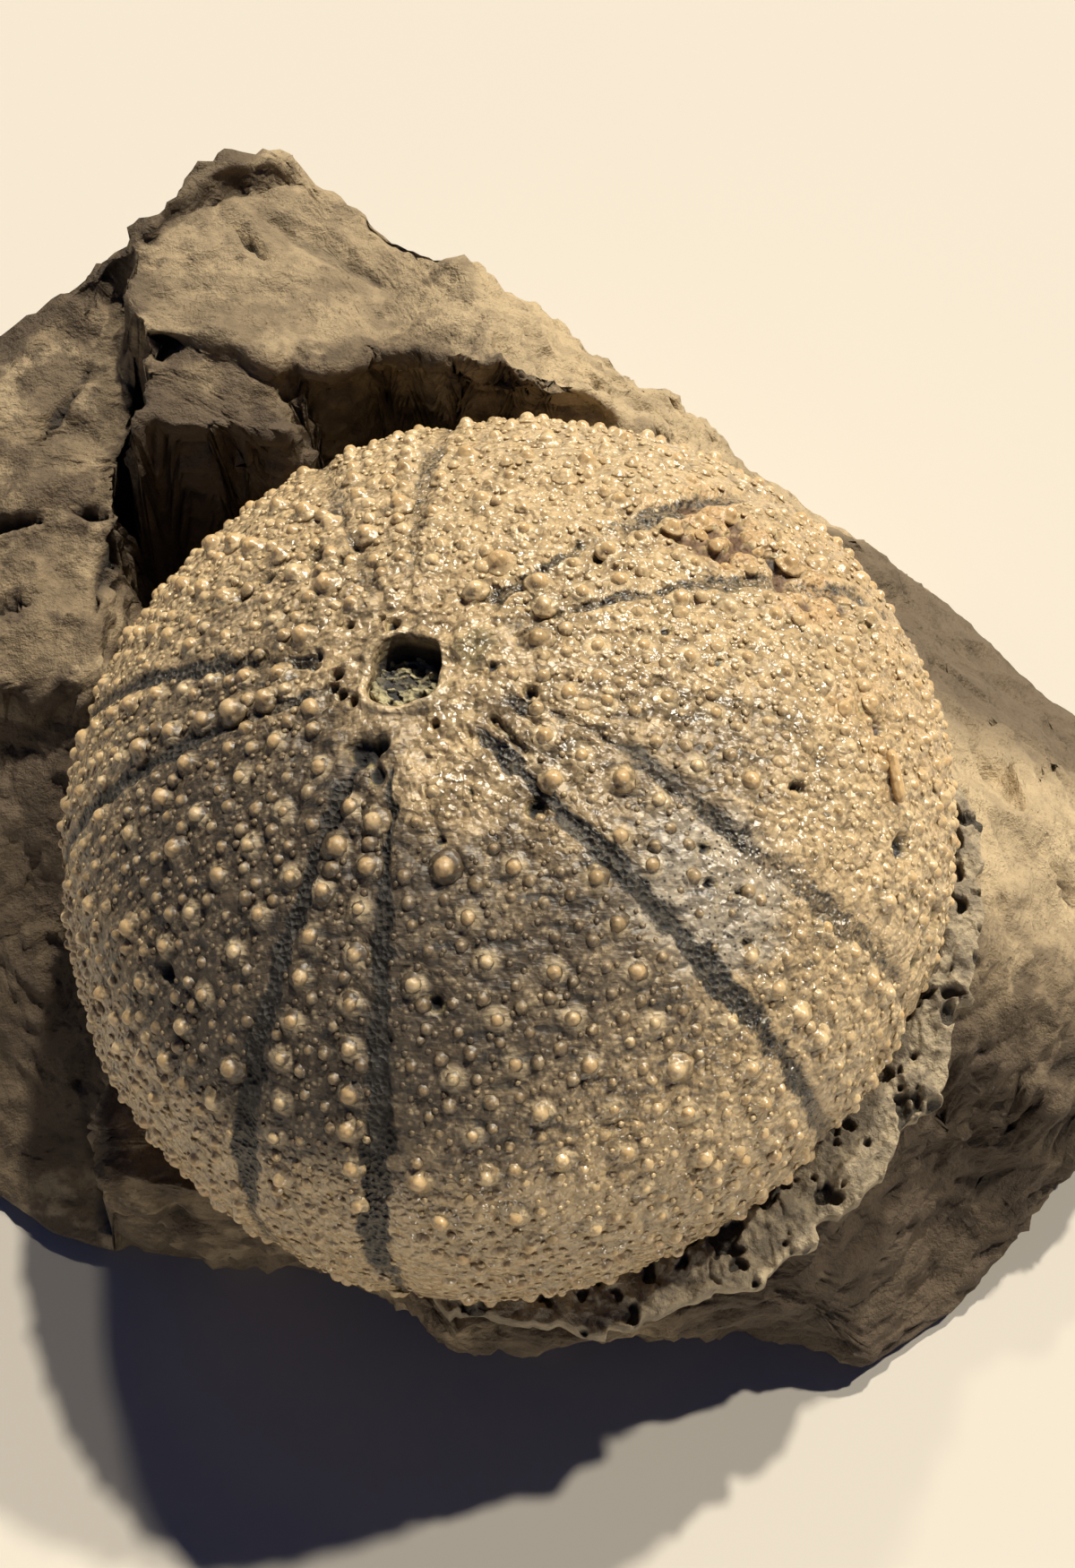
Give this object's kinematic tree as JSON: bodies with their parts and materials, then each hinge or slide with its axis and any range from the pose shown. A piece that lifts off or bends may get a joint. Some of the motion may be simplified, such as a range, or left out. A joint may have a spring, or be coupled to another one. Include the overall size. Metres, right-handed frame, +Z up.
{
  "type": "fossil sea urchin in matrix",
  "caption": "Domed fossil sea urchin test with knobs, pore bands and an open vent hole, seated in a broken block of matrix rock with a flat base.",
  "frame": {"origin": "on the flat base of the rock, straight under the centre of the test's widest line", "axes": "+Z up from the table; +X to the right and +Y away from the front, where the test overhangs the rock and its crown leans to the left"},
  "size_m": [0.107, 0.0973, 0.0501],
  "materials": {
    "calcite_test": "glossy translucent calcite with cream knobs and dark speckled pore bands",
    "vent_sediment": "rough crumbly hardened sediment",
    "matrix_rock": "rough broken limestone, tan on the lit facets and grey at the collar"
  },
  "bodies": {
    "root": {"sea_urchin_test": "calcite_test", "vent_sediment": "vent_sediment", "matrix_rock": "matrix_rock"}
  },
  "joints": []
}
